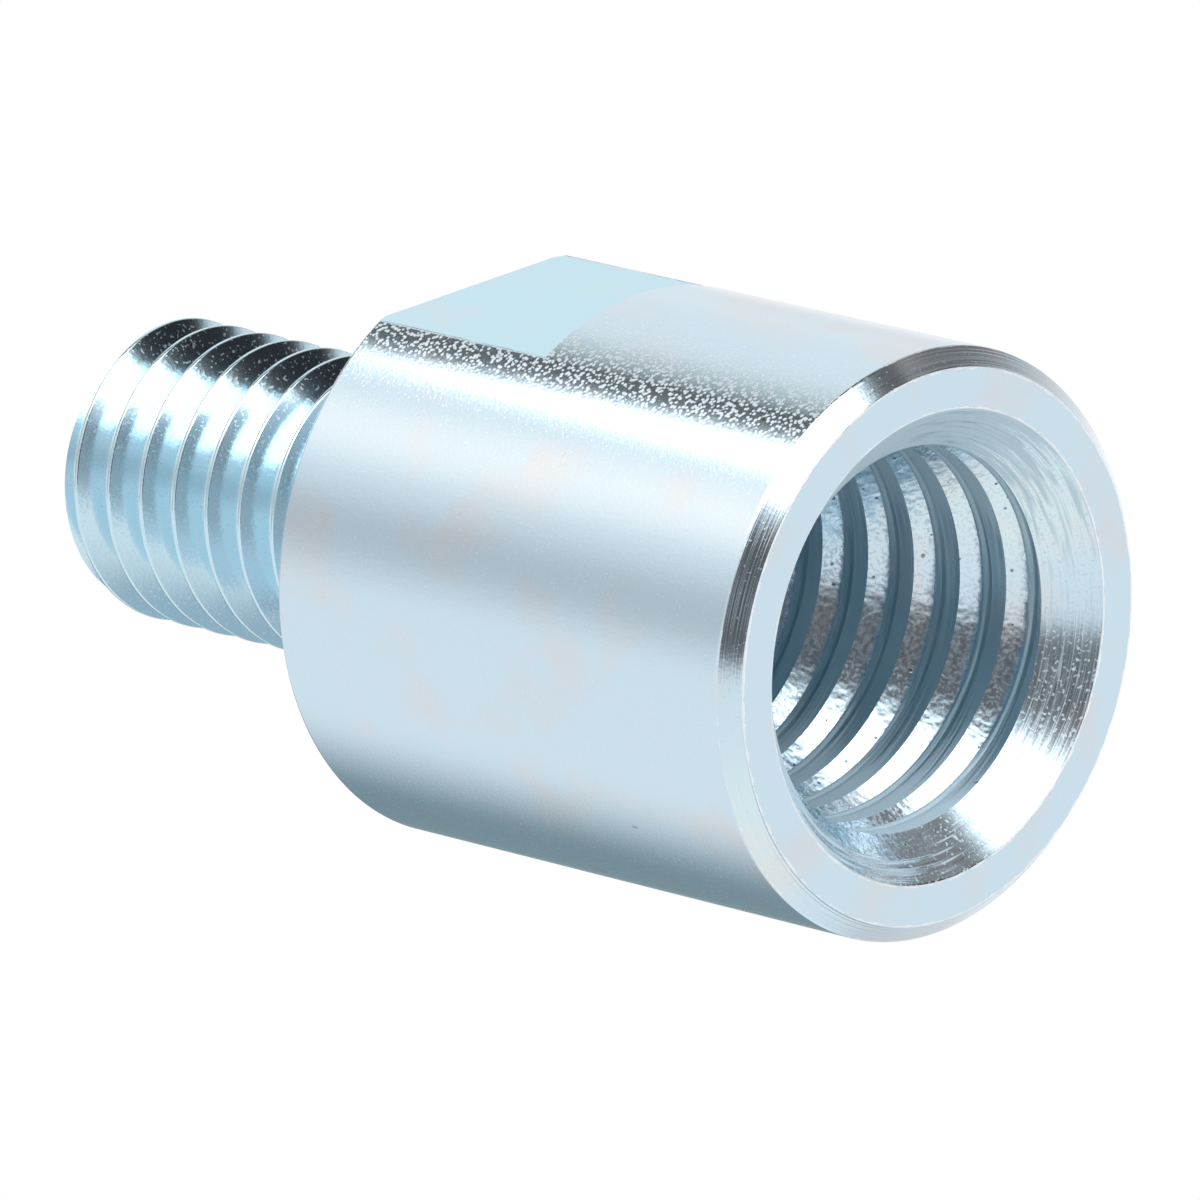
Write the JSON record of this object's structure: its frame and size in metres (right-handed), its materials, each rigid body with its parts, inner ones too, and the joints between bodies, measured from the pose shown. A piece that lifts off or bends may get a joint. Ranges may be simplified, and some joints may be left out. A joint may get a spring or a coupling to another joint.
{
  "type": "thread adapter",
  "caption": "Round zinc-plated steel thread adapter: a threaded stud on one end, a countersunk tapped blind hole in the other, and opposed wrench flats on the body.",
  "frame": {"origin": "centre of the mouth of the tapped hole, on the flat ring that the adapter stands on", "axes": "+Z along the common axis of the hole and the stud, towards the stud's end; the two wrench flats face +Y and -Y"},
  "size_m": [0.019, 0.019, 0.035],
  "materials": {
    "zinc_plated_steel": "bright zinc plate with a clear-blue passivate, satin"
  },
  "bodies": {
    "root": {"adapter": "zinc_plated_steel"}
  },
  "joints": []
}
